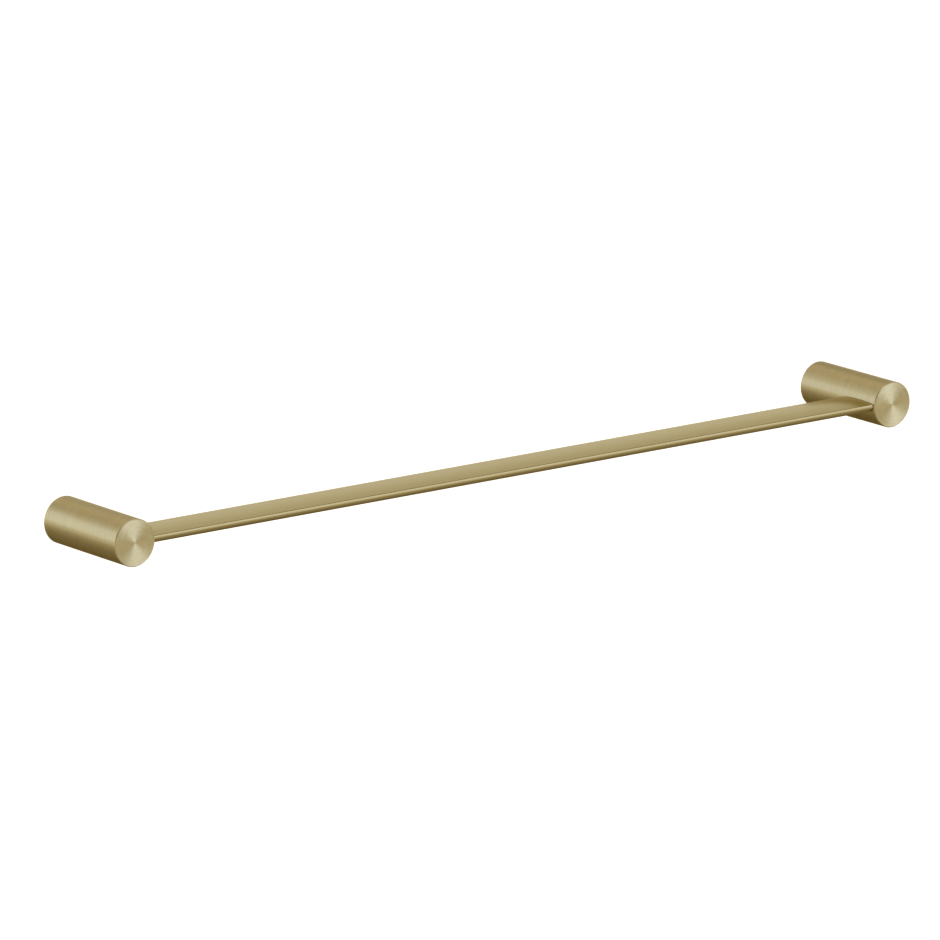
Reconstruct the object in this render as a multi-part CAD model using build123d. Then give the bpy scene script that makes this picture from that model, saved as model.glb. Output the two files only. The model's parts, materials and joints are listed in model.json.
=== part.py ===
from build123d import *
import os

os.makedirs("parts", exist_ok=True)

# Wall-hung towel rail: a flat bar held between two round posts.
# X runs along the bar, Y into the wall and Z up. The wall is the plane Y = 0,
# and the origin lies midway between the two wall screws. Sizes are in millimetres.

# Posts
post_spacing = 600.0
post_diameter = 30.0
post_length = 75.0
post_front_chamfer = 0.5
post_back_chamfer = 0.3
post_wall = 3.0
socket_depth = 20.0

# Towel bar, with a gently crowned top, a narrow eased edge at the front and a round nose below it
bar_width = 30.0
bar_thickness = 5.8
bar_back_radius = 0.8
crown_rise = 0.8
crest_radius = 0.5
nose_run = 3.0
nose_setback = 1.2
tenon_past_axis = 5.0

# Wall brackets
bracket_length = 12.0
bracket_chamfer = 0.8
wall_hole_diameter = 5.5
wall_countersink_diameter = 10.5
groove_depth = 2.0

# Grub screws that lock the posts on the brackets
grub_diameter = 5.0
grub_tip_diameter = 1.2
grub_sink = 0.4
grub_key = 2.5
grub_key_depth = 1.6

# Cap screws that draw the bar's ends into the posts
bar_screw_diameter = 3.0
bar_screw_grip = 9.5
bar_screw_hole_spare = 2.5
bar_screw_head_diameter = 5.5
bar_screw_head_height = 3.0
bar_screw_key = 2.5
bar_screw_key_depth = 1.5

# Clearances
slot_play = 0.05
socket_play = 0.1
thread_play = 0.05
groove_play = 0.03
bar_screw_play = 0.2

# Levels and places that the pieces share
post_radius = post_diameter / 2
socket_radius = post_radius - post_wall
spigot_radius = socket_radius - socket_play
groove_y = -bracket_length / 2

nose_height = bar_thickness - crown_rise
nose_radius = (nose_run**2 + nose_height**2) / (2 * nose_height)
bar_top = bar_thickness / 2
bar_bottom = -bar_top
crest_height = bar_bottom + nose_height
nose_front = nose_setback - post_length
crest_y = nose_front + nose_radius - nose_run
bar_back = nose_front + bar_width
bar_length = post_spacing + 2 * tenon_past_axis


def along_y(radius, start, end):
    """A round bar about the Y axis between two distances from the wall."""
    disc = Plane(origin=(0, start, 0), z_dir=(0, -1, 0)) * Circle(radius)
    return extrude(disc, start - end)


def key_socket(across_flats, depth):
    """A hexagon socket sunk from the plane Z = 0."""
    return extrude(RegularPolygon(across_flats / 2, 6, major_radius=False), -depth)


def bar_section():
    """The bar's outline, seen along its length."""
    with BuildSketch(Plane.YZ) as section:
        with BuildLine():
            under = Line((bar_back, bar_bottom), (crest_y + nose_run, bar_bottom))
            nose = TangentArc(under @ 1, (crest_y, crest_height), tangent=under % 1)
            back = Line(under @ 0, (bar_back, crest_height))
            ThreePointArc(back @ 1, ((bar_back + crest_y) / 2, bar_top), nose @ 1)
        make_face()
        fillet(section.vertices().group_by(Axis.X)[-1], bar_back_radius)
    return section.sketch


def make_bar():
    bar = extrude(bar_section(), bar_length / 2, both=True)
    crest = bar.edges().filter_by(Axis.X).sort_by(Axis.Y)[0]
    bar = fillet(crest, crest_radius)
    depth = bar_screw_grip + bar_screw_hole_spare
    tapped_hole = along_y(bar_screw_diameter / 2 + thread_play, bar_back, bar_back - depth)
    for side in (-1, 1):
        bar -= Pos(side * post_spacing / 2, 0, 0) * tapped_hole
    return bar


def make_post():
    """The post at the right end, about the Y axis, with its slot facing the bar."""
    outline = Rectangle(post_radius, post_length, align=(Align.MIN, Align.MAX))
    rim = outline.vertices().group_by(Axis.X)[-1].sort_by(Axis.Y)
    outline = chamfer(rim[0], post_front_chamfer)
    outline = chamfer(outline.vertices().group_by(Axis.Y)[-1].sort_by(Axis.X)[-1], post_back_chamfer)
    post = revolve(outline, Axis.Y)
    post -= along_y(socket_radius, 0, -socket_depth)
    post -= along_y(bar_screw_diameter / 2 + bar_screw_play, -socket_depth, bar_back)
    slot = extrude(offset(bar_section(), slot_play), post_diameter)
    post -= Pos(tenon_past_axis + slot_play - post_diameter, 0, 0) * slot
    grub_hole = extrude(Circle(grub_diameter / 2 + thread_play), -post_radius)
    post -= Pos(0, groove_y, 0) * grub_hole
    return post


def make_bracket():
    """A spigot that is screwed to the wall and fills the mouth of the post's socket."""
    outline = Rectangle(spigot_radius, bracket_length, align=(Align.MIN, Align.MAX))
    outline = chamfer(outline.vertices().sort_by(Axis.Y)[:2].sort_by(Axis.X)[-1], bracket_chamfer)
    outline -= make_face(
        Polyline(
            (spigot_radius - groove_depth, groove_y),
            (spigot_radius, groove_y + groove_depth),
            (spigot_radius, groove_y - groove_depth),
            close=True,
        )
    )
    bracket = revolve(outline, Axis.Y)
    bracket -= along_y(wall_hole_diameter / 2, 0, -bracket_length)
    countersink_depth = (wall_countersink_diameter - wall_hole_diameter) / 2
    countersink = Cone(wall_hole_diameter / 2, wall_countersink_diameter / 2, countersink_depth)
    countersink_place = Plane(origin=(0, countersink_depth / 2 - bracket_length, 0), z_dir=(0, -1, 0))
    return bracket - countersink_place * countersink


def make_grub_screw():
    """A cone-point grub screw, whose point lies in the bracket's groove."""
    radius = grub_diameter / 2
    tip_radius = grub_tip_diameter / 2
    tip = spigot_radius - groove_depth + tip_radius + groove_play
    shoulder = tip + radius - tip_radius
    head = post_radius - grub_sink
    with BuildSketch(Plane.XZ) as outline:
        with BuildLine():
            Polyline(
                (0, -tip),
                (tip_radius, -tip),
                (radius, -shoulder),
                (radius, -head),
                (0, -head),
                close=True,
            )
        make_face()
    screw = revolve(outline.sketch, Axis.Z)
    key_place = Plane(origin=(0, 0, -head), z_dir=(0, 0, -1))
    screw -= key_place * key_socket(grub_key, grub_key_depth)
    return Pos(0, groove_y, 0) * screw


def make_bar_screw():
    """A socket cap screw from the bottom of the post's socket into the bar's end."""
    screw = along_y(bar_screw_diameter / 2, -socket_depth, bar_back - bar_screw_grip)
    head_end = bar_screw_head_height - socket_depth
    screw += along_y(bar_screw_head_diameter / 2, head_end, -socket_depth)
    key_place = Plane(origin=(0, head_end, 0), z_dir=(0, 1, 0))
    return screw - key_place * key_socket(bar_screw_key, bar_screw_key_depth)


def save(node, solid):
    solid.label = node
    export_step(solid, f"parts/{node}.step")


save("towel_bar", make_bar())

post_end_pieces = {
    "post": make_post(),
    "wall_bracket": make_bracket(),
    "grub_screw": make_grub_screw(),
    "bar_screw": make_bar_screw(),
}
for name, piece in post_end_pieces.items():
    save(f"right_{name}", Pos(post_spacing / 2, 0, 0) * piece)
    save(f"left_{name}", Pos(-post_spacing / 2, 0, 0) * mirror(piece, Plane.YZ))
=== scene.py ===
import json
import math
import bpy
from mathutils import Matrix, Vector

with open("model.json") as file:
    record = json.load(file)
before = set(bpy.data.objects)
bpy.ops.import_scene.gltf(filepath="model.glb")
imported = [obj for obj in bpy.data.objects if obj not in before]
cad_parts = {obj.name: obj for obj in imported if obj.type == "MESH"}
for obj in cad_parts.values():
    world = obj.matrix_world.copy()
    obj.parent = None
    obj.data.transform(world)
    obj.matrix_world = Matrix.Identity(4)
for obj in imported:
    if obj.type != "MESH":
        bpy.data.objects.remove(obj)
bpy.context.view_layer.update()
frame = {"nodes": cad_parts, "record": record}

nodes = frame["nodes"]
mmPerMetre = 1000
wallScrews = next(mount for mount in frame["record"]["mounts"] if mount["name"] == "wall_screws")
postOffset = wallScrews["dims"]["spacing_x_mm"] / 2 / mmPerMetre  # from the middle to a post's axis
colourA, colourB, colourOut = 6, 7, 2  # the Mix node's sockets when it mixes colours
print("frame loaded:", len(nodes), "nodes")


def linearColour(code):
    channels = [int(code[i:i + 2], 16) / 255 for i in (1, 3, 5)]
    return [c / 12.92 if c <= 0.04045 else ((c + 0.055) / 1.055) ** 2.4 for c in channels] + [1.0]


def addNode(tree, kind, links=None, **settings):
    node = tree.nodes.new("ShaderNode" + kind)
    for name, value in settings.items():
        setattr(node, name, value)
    for socket, source in (links or {}).items():
        if isinstance(source, bpy.types.NodeSocket):
            tree.links.new(source, node.inputs[socket])
        else:
            node.inputs[socket].default_value = source
    return node


def startMaterial(name):
    material = bpy.data.materials.new(name)
    material.use_nodes = True
    material.node_tree.nodes.clear()
    return material, material.node_tree


def dress(nodeName, material):
    node = nodes[nodeName]
    node.data.materials.clear()
    node.data.materials.append(material)


noiseRange = (0.25, 0.75)  # a noise texture hardly leaves it


# one pattern gives a metal its paler and rougher lines, and its scratches where it is brushed round an axis
def finishMetal(tree, pattern, look, brushAxis=None):
    colour = addNode(tree, "Mix", {
        "Factor": pattern,
        colourA: linearColour(look["dark"]),
        colourB: linearColour(look["pale"]),
    }, data_type="RGBA")
    rough = addNode(tree, "MapRange", {
        "Value": pattern,
        "From Min": noiseRange[0],
        "From Max": noiseRange[1],
        "To Min": look["roughness"][0],
        "To Max": look["roughness"][1],
    })
    sockets = {
        "Base Color": colour.outputs[colourOut],
        "Metallic": 1.0,
        "Roughness": rough.outputs["Result"],
    }
    if brushAxis:
        scratches = addNode(tree, "Bump", {
            "Height": pattern,
            "Strength": 1.0,
            "Distance": look["scratchDepthMm"] / mmPerMetre,
        })
        lay = addNode(tree, "Tangent", direction_type="RADIAL", axis=brushAxis)
        sockets.update({
            "Specular Tint": linearColour(look["edgeTint"]),
            "Anisotropic": look["anisotropy"],
            "Anisotropic Rotation": look["layTurn"],
            "Normal": scratches.outputs["Normal"],
            "Tangent": lay.outputs["Tangent"],
        })
    metal = addNode(tree, "BsdfPrincipled", sockets)
    addNode(tree, "OutputMaterial", {"Surface": metal.outputs["BSDF"]})


# brushed brass, turned: fine rings round the post and across its face, a soft fan of light on the face
turnedBrass = {
    "dark": "#b8ab7f",
    "pale": "#d8cba2",
    "edgeTint": "#eee9d5",  # keeps the metal warm where it is seen at a low angle
    "roughness": (0.36, 0.44),
    "anisotropy": 0.75,
    "layTurn": 0.25,  # a quarter turn, so that light spreads across the rings
    "ringPitchMm": 0.9,  # real scratches are finer, drawn as coarse as shows
    "ringBreaks": 2.0,  # how much a ring changes on its way round
    "ringDetail": 2.0,
    "scratchDepthMm": 0.0015,
}


def turnedBrassMaterial(look):
    material, tree = startMaterial("turnedBrushedBrass")
    place = addNode(tree, "TexCoord")
    split = addNode(tree, "SeparateXYZ", {0: place.outputs["Object"]})
    # where a point lies round its post's axis, the same for both posts
    outwards = addNode(tree, "Math", {0: split.outputs["X"]}, operation="ABSOLUTE")
    across = addNode(tree, "Math", {0: outwards.outputs[0], 1: postOffset}, operation="SUBTRACT")
    spoke = addNode(tree, "CombineXYZ", {"X": across.outputs[0], "Z": split.outputs["Z"]})
    around = addNode(tree, "VectorMath", {0: spoke.outputs[0]}, operation="NORMALIZE")
    breaks = addNode(tree, "VectorMath", {
        0: around.outputs["Vector"], "Scale": look["ringBreaks"],
    }, operation="SCALE")
    breakSplit = addNode(tree, "SeparateXYZ", {0: breaks.outputs["Vector"]})
    # the tool's way out across the face and back along the flank, counted in rings
    radius = addNode(tree, "VectorMath", {0: spoke.outputs[0]}, operation="LENGTH")
    toolPath = addNode(tree, "Math", {
        0: radius.outputs["Value"], 1: split.outputs["Y"],
    }, operation="SUBTRACT")
    turns = addNode(tree, "Math", {
        0: toolPath.outputs[0], 1: mmPerMetre / look["ringPitchMm"],
    }, operation="MULTIPLY")
    ringPlace = addNode(tree, "CombineXYZ", {
        "X": turns.outputs[0], "Y": breakSplit.outputs["X"], "Z": breakSplit.outputs["Z"],
    })
    rings = addNode(tree, "TexNoise", {
        "Vector": ringPlace.outputs[0], "Scale": 1.0, "Detail": look["ringDetail"],
    })
    finishMetal(tree, rings.outputs["Fac"], look, brushAxis="Y")
    return material


turnedMetal = turnedBrassMaterial(turnedBrass)
for postNode in ("left_post", "right_post"):
    dress(postNode, turnedMetal)
print("posts finished")


# brushed brass, drawn: long hair-fine streaks along the bar, which shines sharper along them than across
drawnBrass = {
    "dark": "#c1b489",
    "pale": "#cfc299",
    "edgeTint": "#eee9d5",
    "roughness": (0.18, 0.25),
    "anisotropy": 0.5,
    "layTurn": 0.0,  # light already spreads across the streaks
    "streakWidthMm": 0.6,  # wider than real ones, as the rings are
    "streakLengthMm": 45.0,
    "streakDetail": 3.0,
    "scratchDepthMm": 0.0012,
}


def drawnBrassMaterial(look):
    material, tree = startMaterial("drawnBrushedBrass")
    place = addNode(tree, "TexCoord")
    along = mmPerMetre / look["streakLengthMm"]
    across = mmPerMetre / look["streakWidthMm"]
    streakPlace = addNode(tree, "Mapping", {
        "Vector": place.outputs["Object"], "Scale": (along, across, across),
    })
    streaks = addNode(tree, "TexNoise", {
        "Vector": streakPlace.outputs[0], "Scale": 1.0, "Detail": look["streakDetail"],
    })
    finishMetal(tree, streaks.outputs["Fac"], look, brushAxis="X")
    return material


dress("towel_bar", drawnBrassMaterial(drawnBrass))
print("bar finished")


# hidden fixings: plain metal with the fine mottle of a machined or rolled surface
fixingMetals = {
    "turnedPlainBrass": {
        "nodes": ("left_wall_bracket", "right_wall_bracket"),
        "dark": "#b59a5c",
        "pale": "#cbb277",
        "roughness": (0.28, 0.4),
        "grainMm": 0.5,
        "grainDetail": 2.0,
    },
    "stainlessSteel": {
        "nodes": ("left_grub_screw", "right_grub_screw", "left_bar_screw", "right_bar_screw"),
        "dark": "#a9a8a4",
        "pale": "#c4c2bd",
        "roughness": (0.25, 0.36),
        "grainMm": 0.4,
        "grainDetail": 2.0,
    },
}


def fixingMaterial(name, look):
    material, tree = startMaterial(name)
    place = addNode(tree, "TexCoord")
    grain = addNode(tree, "TexNoise", {
        "Vector": place.outputs["Object"],
        "Scale": mmPerMetre / look["grainMm"],
        "Detail": look["grainDetail"],
    })
    finishMetal(tree, grain.outputs["Fac"], look)
    return material


for metalName, look in fixingMetals.items():
    fixing = fixingMaterial(metalName, look)
    for nodeName in look["nodes"]:
        dress(nodeName, fixing)
print("fixings finished")


# studio, in metres: a pale floor far below the rail, a dim card that only reflections see, and a pale room
studio = {
    "floorDrop": 2.8,
    "floorSize": 200.0,
    "floorColour": "#f2f1ef",
    "floorGlow": 0.8,  # brings the lit floor up to white
    "cardDrop": 2.0,
    "cardSize": 200.0,
    "cardMiddle": (0.8, 2.2),  # the card is dark here and pale further out
    "cardSquash": (1.18, 0.97),  # over 1 draws the dark patch in along that axis
    "cardDark": "#6a5926",
    "cardPale": "#e4dac0",
    "cardReach": (0.5, 11.6),  # from the middle, dark to pale
    "roomHorizon": "#ebe9e2",
    "roomCeiling": "#c5b89f",
    "ceilingEdge": (0.485, 0.585),  # sine of the angle above the horizon
    "ceilingTilt": 0.3,  # how far the ceiling comes down on the right
    "roomStrength": 1.0,
    # unlit places of the room: the way there, and the cosine of the angle from it, lit to unlit
    "unlit": {
        "corner": {"side": (-0.62, -0.63, 0.465), "reach": (0.75, 0.9), "colour": "#8a7b56"},
        "overhead": {"side": (0.592, 0.236, 0.771), "reach": (0.87, 0.97), "colour": "#7d6e4a"},
    },
}


def addSheet(name, size, height, material):
    bpy.ops.object.select_all(action="DESELECT")
    bpy.ops.mesh.primitive_plane_add(size=size, location=(0, 0, 0))
    sheet = bpy.context.active_object
    sheet.name = name
    for vertex in sheet.data.vertices:
        vertex.co.z = height
    sheet.data.materials.append(material)
    return sheet


# matt pale floor: white to the camera and in the metal, clear from below to show the rail's underside
def addFloor(look):
    material, tree = startMaterial("paleFloor")
    path = addNode(tree, "LightPath")
    seen = addNode(tree, "Math", {
        0: path.outputs["Is Camera Ray"], 1: path.outputs["Is Glossy Ray"],
    }, operation="MAXIMUM")
    seenThrough = addNode(tree, "Math", {
        0: seen.outputs[0], 1: path.outputs["Is Transmission Ray"],
    }, operation="MAXIMUM")
    glow = addNode(tree, "Math", {
        0: seenThrough.outputs[0], 1: look["floorGlow"],
    }, operation="MULTIPLY")
    matt = addNode(tree, "BsdfDiffuse", {"Color": linearColour(look["floorColour"])})
    white = addNode(tree, "Emission", {"Strength": glow.outputs[0]})
    both = addNode(tree, "AddShader", {0: matt.outputs[0], 1: white.outputs[0]})
    side = addNode(tree, "NewGeometry")
    clear = addNode(tree, "BsdfTransparent")
    oneSided = addNode(tree, "MixShader", {
        0: side.outputs["Backfacing"], 1: both.outputs[0], 2: clear.outputs[0],
    })
    addNode(tree, "OutputMaterial", {"Surface": oneSided.outputs[0]})
    addSheet("studioFloor", look["floorSize"], -look["floorDrop"], material)


# dim card: a dark patch that fades out, which gives the metal its brown undersides
def addCard(look):
    material, tree = startMaterial("dimCard")
    place = addNode(tree, "TexCoord")
    squash = (*look["cardSquash"], 1.0)
    middle = (*look["cardMiddle"], -look["cardDrop"])
    patch = addNode(tree, "Mapping", {
        "Vector": place.outputs["Object"],
        "Location": [-stretch * at for stretch, at in zip(squash, middle)],
        "Scale": squash,
    })
    away = addNode(tree, "VectorMath", {0: patch.outputs[0]}, operation="LENGTH")
    near, far = look["cardReach"]
    fade = addNode(tree, "MapRange", {"Value": away.outputs["Value"], "From Min": near, "From Max": far})
    shade = addNode(tree, "Mix", {
        "Factor": fade.outputs["Result"],
        colourA: linearColour(look["cardDark"]),
        colourB: linearColour(look["cardPale"]),
    }, data_type="RGBA")
    dim = addNode(tree, "Emission", {"Color": shade.outputs[colourOut]})
    addNode(tree, "OutputMaterial", {"Surface": dim.outputs[0]})
    card = addSheet("dimCard", look["cardSize"], -look["cardDrop"], material)
    card.visible_camera = False
    card.visible_diffuse = False
    card.visible_shadow = False


# pale room: white walls, a warmer ceiling and two unlit places
def addRoom(look):
    room = bpy.data.worlds.new("paleRoom")
    bpy.context.scene.world = room
    room.use_nodes = True
    tree = room.node_tree
    tree.nodes.clear()
    direction = addNode(tree, "TexCoord")
    split = addNode(tree, "SeparateXYZ", {0: direction.outputs["Generated"]})
    tilted = addNode(tree, "Math", {
        0: split.outputs["X"], 1: look["ceilingTilt"], 2: split.outputs["Z"],
    }, operation="MULTIPLY_ADD")
    low, high = look["ceilingEdge"]
    height = addNode(tree, "MapRange", {
        "Value": tilted.outputs[0], "From Min": low, "From Max": high,
    }, interpolation_type="SMOOTHSTEP")
    shade = addNode(tree, "Mix", {
        "Factor": height.outputs["Result"],
        colourA: linearColour(look["roomHorizon"]),
        colourB: linearColour(look["roomCeiling"]),
    }, data_type="RGBA")
    for spot in look["unlit"].values():
        facing = addNode(tree, "VectorMath", {
            0: direction.outputs["Generated"], 1: spot["side"],
        }, operation="DOT_PRODUCT")
        lit, unlit = spot["reach"]
        dimming = addNode(tree, "MapRange", {
            "Value": facing.outputs["Value"], "From Min": lit, "From Max": unlit,
        }, interpolation_type="SMOOTHSTEP")
        shade = addNode(tree, "Mix", {
            "Factor": dimming.outputs["Result"],
            colourA: shade.outputs[colourOut],
            colourB: linearColour(spot["colour"]),
        }, data_type="RGBA")
    light = addNode(tree, "Background", {
        "Color": shade.outputs[colourOut], "Strength": look["roomStrength"],
    })
    addNode(tree, "OutputWorld", {"Surface": light.outputs[0]})


addFloor(studio)
addCard(studio)
addRoom(studio)
print("studio built")


# softboxes, in metres and watts: what one lights is named where it isn't everything
frontSheet = {
    "place": (8.0, -13.86, 3.7),
    "aim": (0, 0, 3.7),
    "size": (11.2, 8.2),
    "colour": "#c0d3ff",
}
softboxes = {
    "left": {  # the bright band along the posts
        "place": (-2.2, 1.3, 0.62),
        "aim": (0, 0, 0),
        "size": (2.8, 1.55),
        "power": 9.9,
        "colour": "#bed4ff",
    },
    # the fan on the posts' faces, and a fainter line along the bar's nose
    "front": {**frontSheet, "power": 1240.0, "lights": ("left_post", "right_post")},
    "frontFaint": {**frontSheet, "power": 95.0, "lights": ("towel_bar",)},
    "top": {  # a little light from above
        "place": (0.0, 0.0, 2.5),
        "aim": (0, 0, 0),
        "size": (2.0, 1.2),
        "power": 6.0,
        "colour": "#ffffff",
    },
}


def addSoftbox(name, look):
    lamp = bpy.data.lights.new(name, "AREA")
    lamp.shape = "RECTANGLE"
    lamp.size, lamp.size_y = look["size"]
    lamp.energy = look["power"]
    lamp.color = linearColour(look["colour"])[:3]
    box = bpy.data.objects.new(name, lamp)
    bpy.context.scene.collection.objects.link(box)
    box.location = look["place"]
    facing = Vector(look["aim"]) - Vector(look["place"])
    box.rotation_euler = facing.to_track_quat("-Z", "Y").to_euler()
    box.visible_camera = False
    if "lights" in look:
        lit = bpy.data.collections.new(name)
        for nodeName in look["lights"]:
            lit.objects.link(nodes[nodeName])
        box.light_linking.receiver_collection = lit


for boxName, look in softboxes.items():
    addSoftbox("softbox_" + boxName, look)
print("softboxes hung")


# camera at the photograph's angle, in metres and degrees, with its lens in pixels of the picture
camera = {
    "aim": (0.0071, -0.0093, -0.0125),
    "azimuth": -37.554,
    "elevation": 13.674,
    "distance": 6.004,
    "pixels": 940,
    "focalPixels": 9500,
    "farthest": 100.0,  # how far the camera sees
}


def addCamera(look):
    lens = bpy.data.cameras.new("camera")
    lens.lens = look["focalPixels"] / look["pixels"] * lens.sensor_width
    lens.clip_end = look["farthest"]
    eye = bpy.data.objects.new("camera", lens)
    bpy.context.scene.collection.objects.link(eye)
    azimuth = math.radians(look["azimuth"])
    elevation = math.radians(look["elevation"])
    towards = Vector((
        math.sin(azimuth) * math.cos(elevation),
        -math.cos(azimuth) * math.cos(elevation),
        math.sin(elevation),
    ))
    eye.location = Vector(look["aim"]) + towards * look["distance"]
    eye.rotation_euler = towards.to_track_quat("Z", "Y").to_euler()
    bpy.context.scene.camera = eye


addCamera(camera)
bpy.context.scene.view_settings.view_transform = "Standard"
print("camera set")
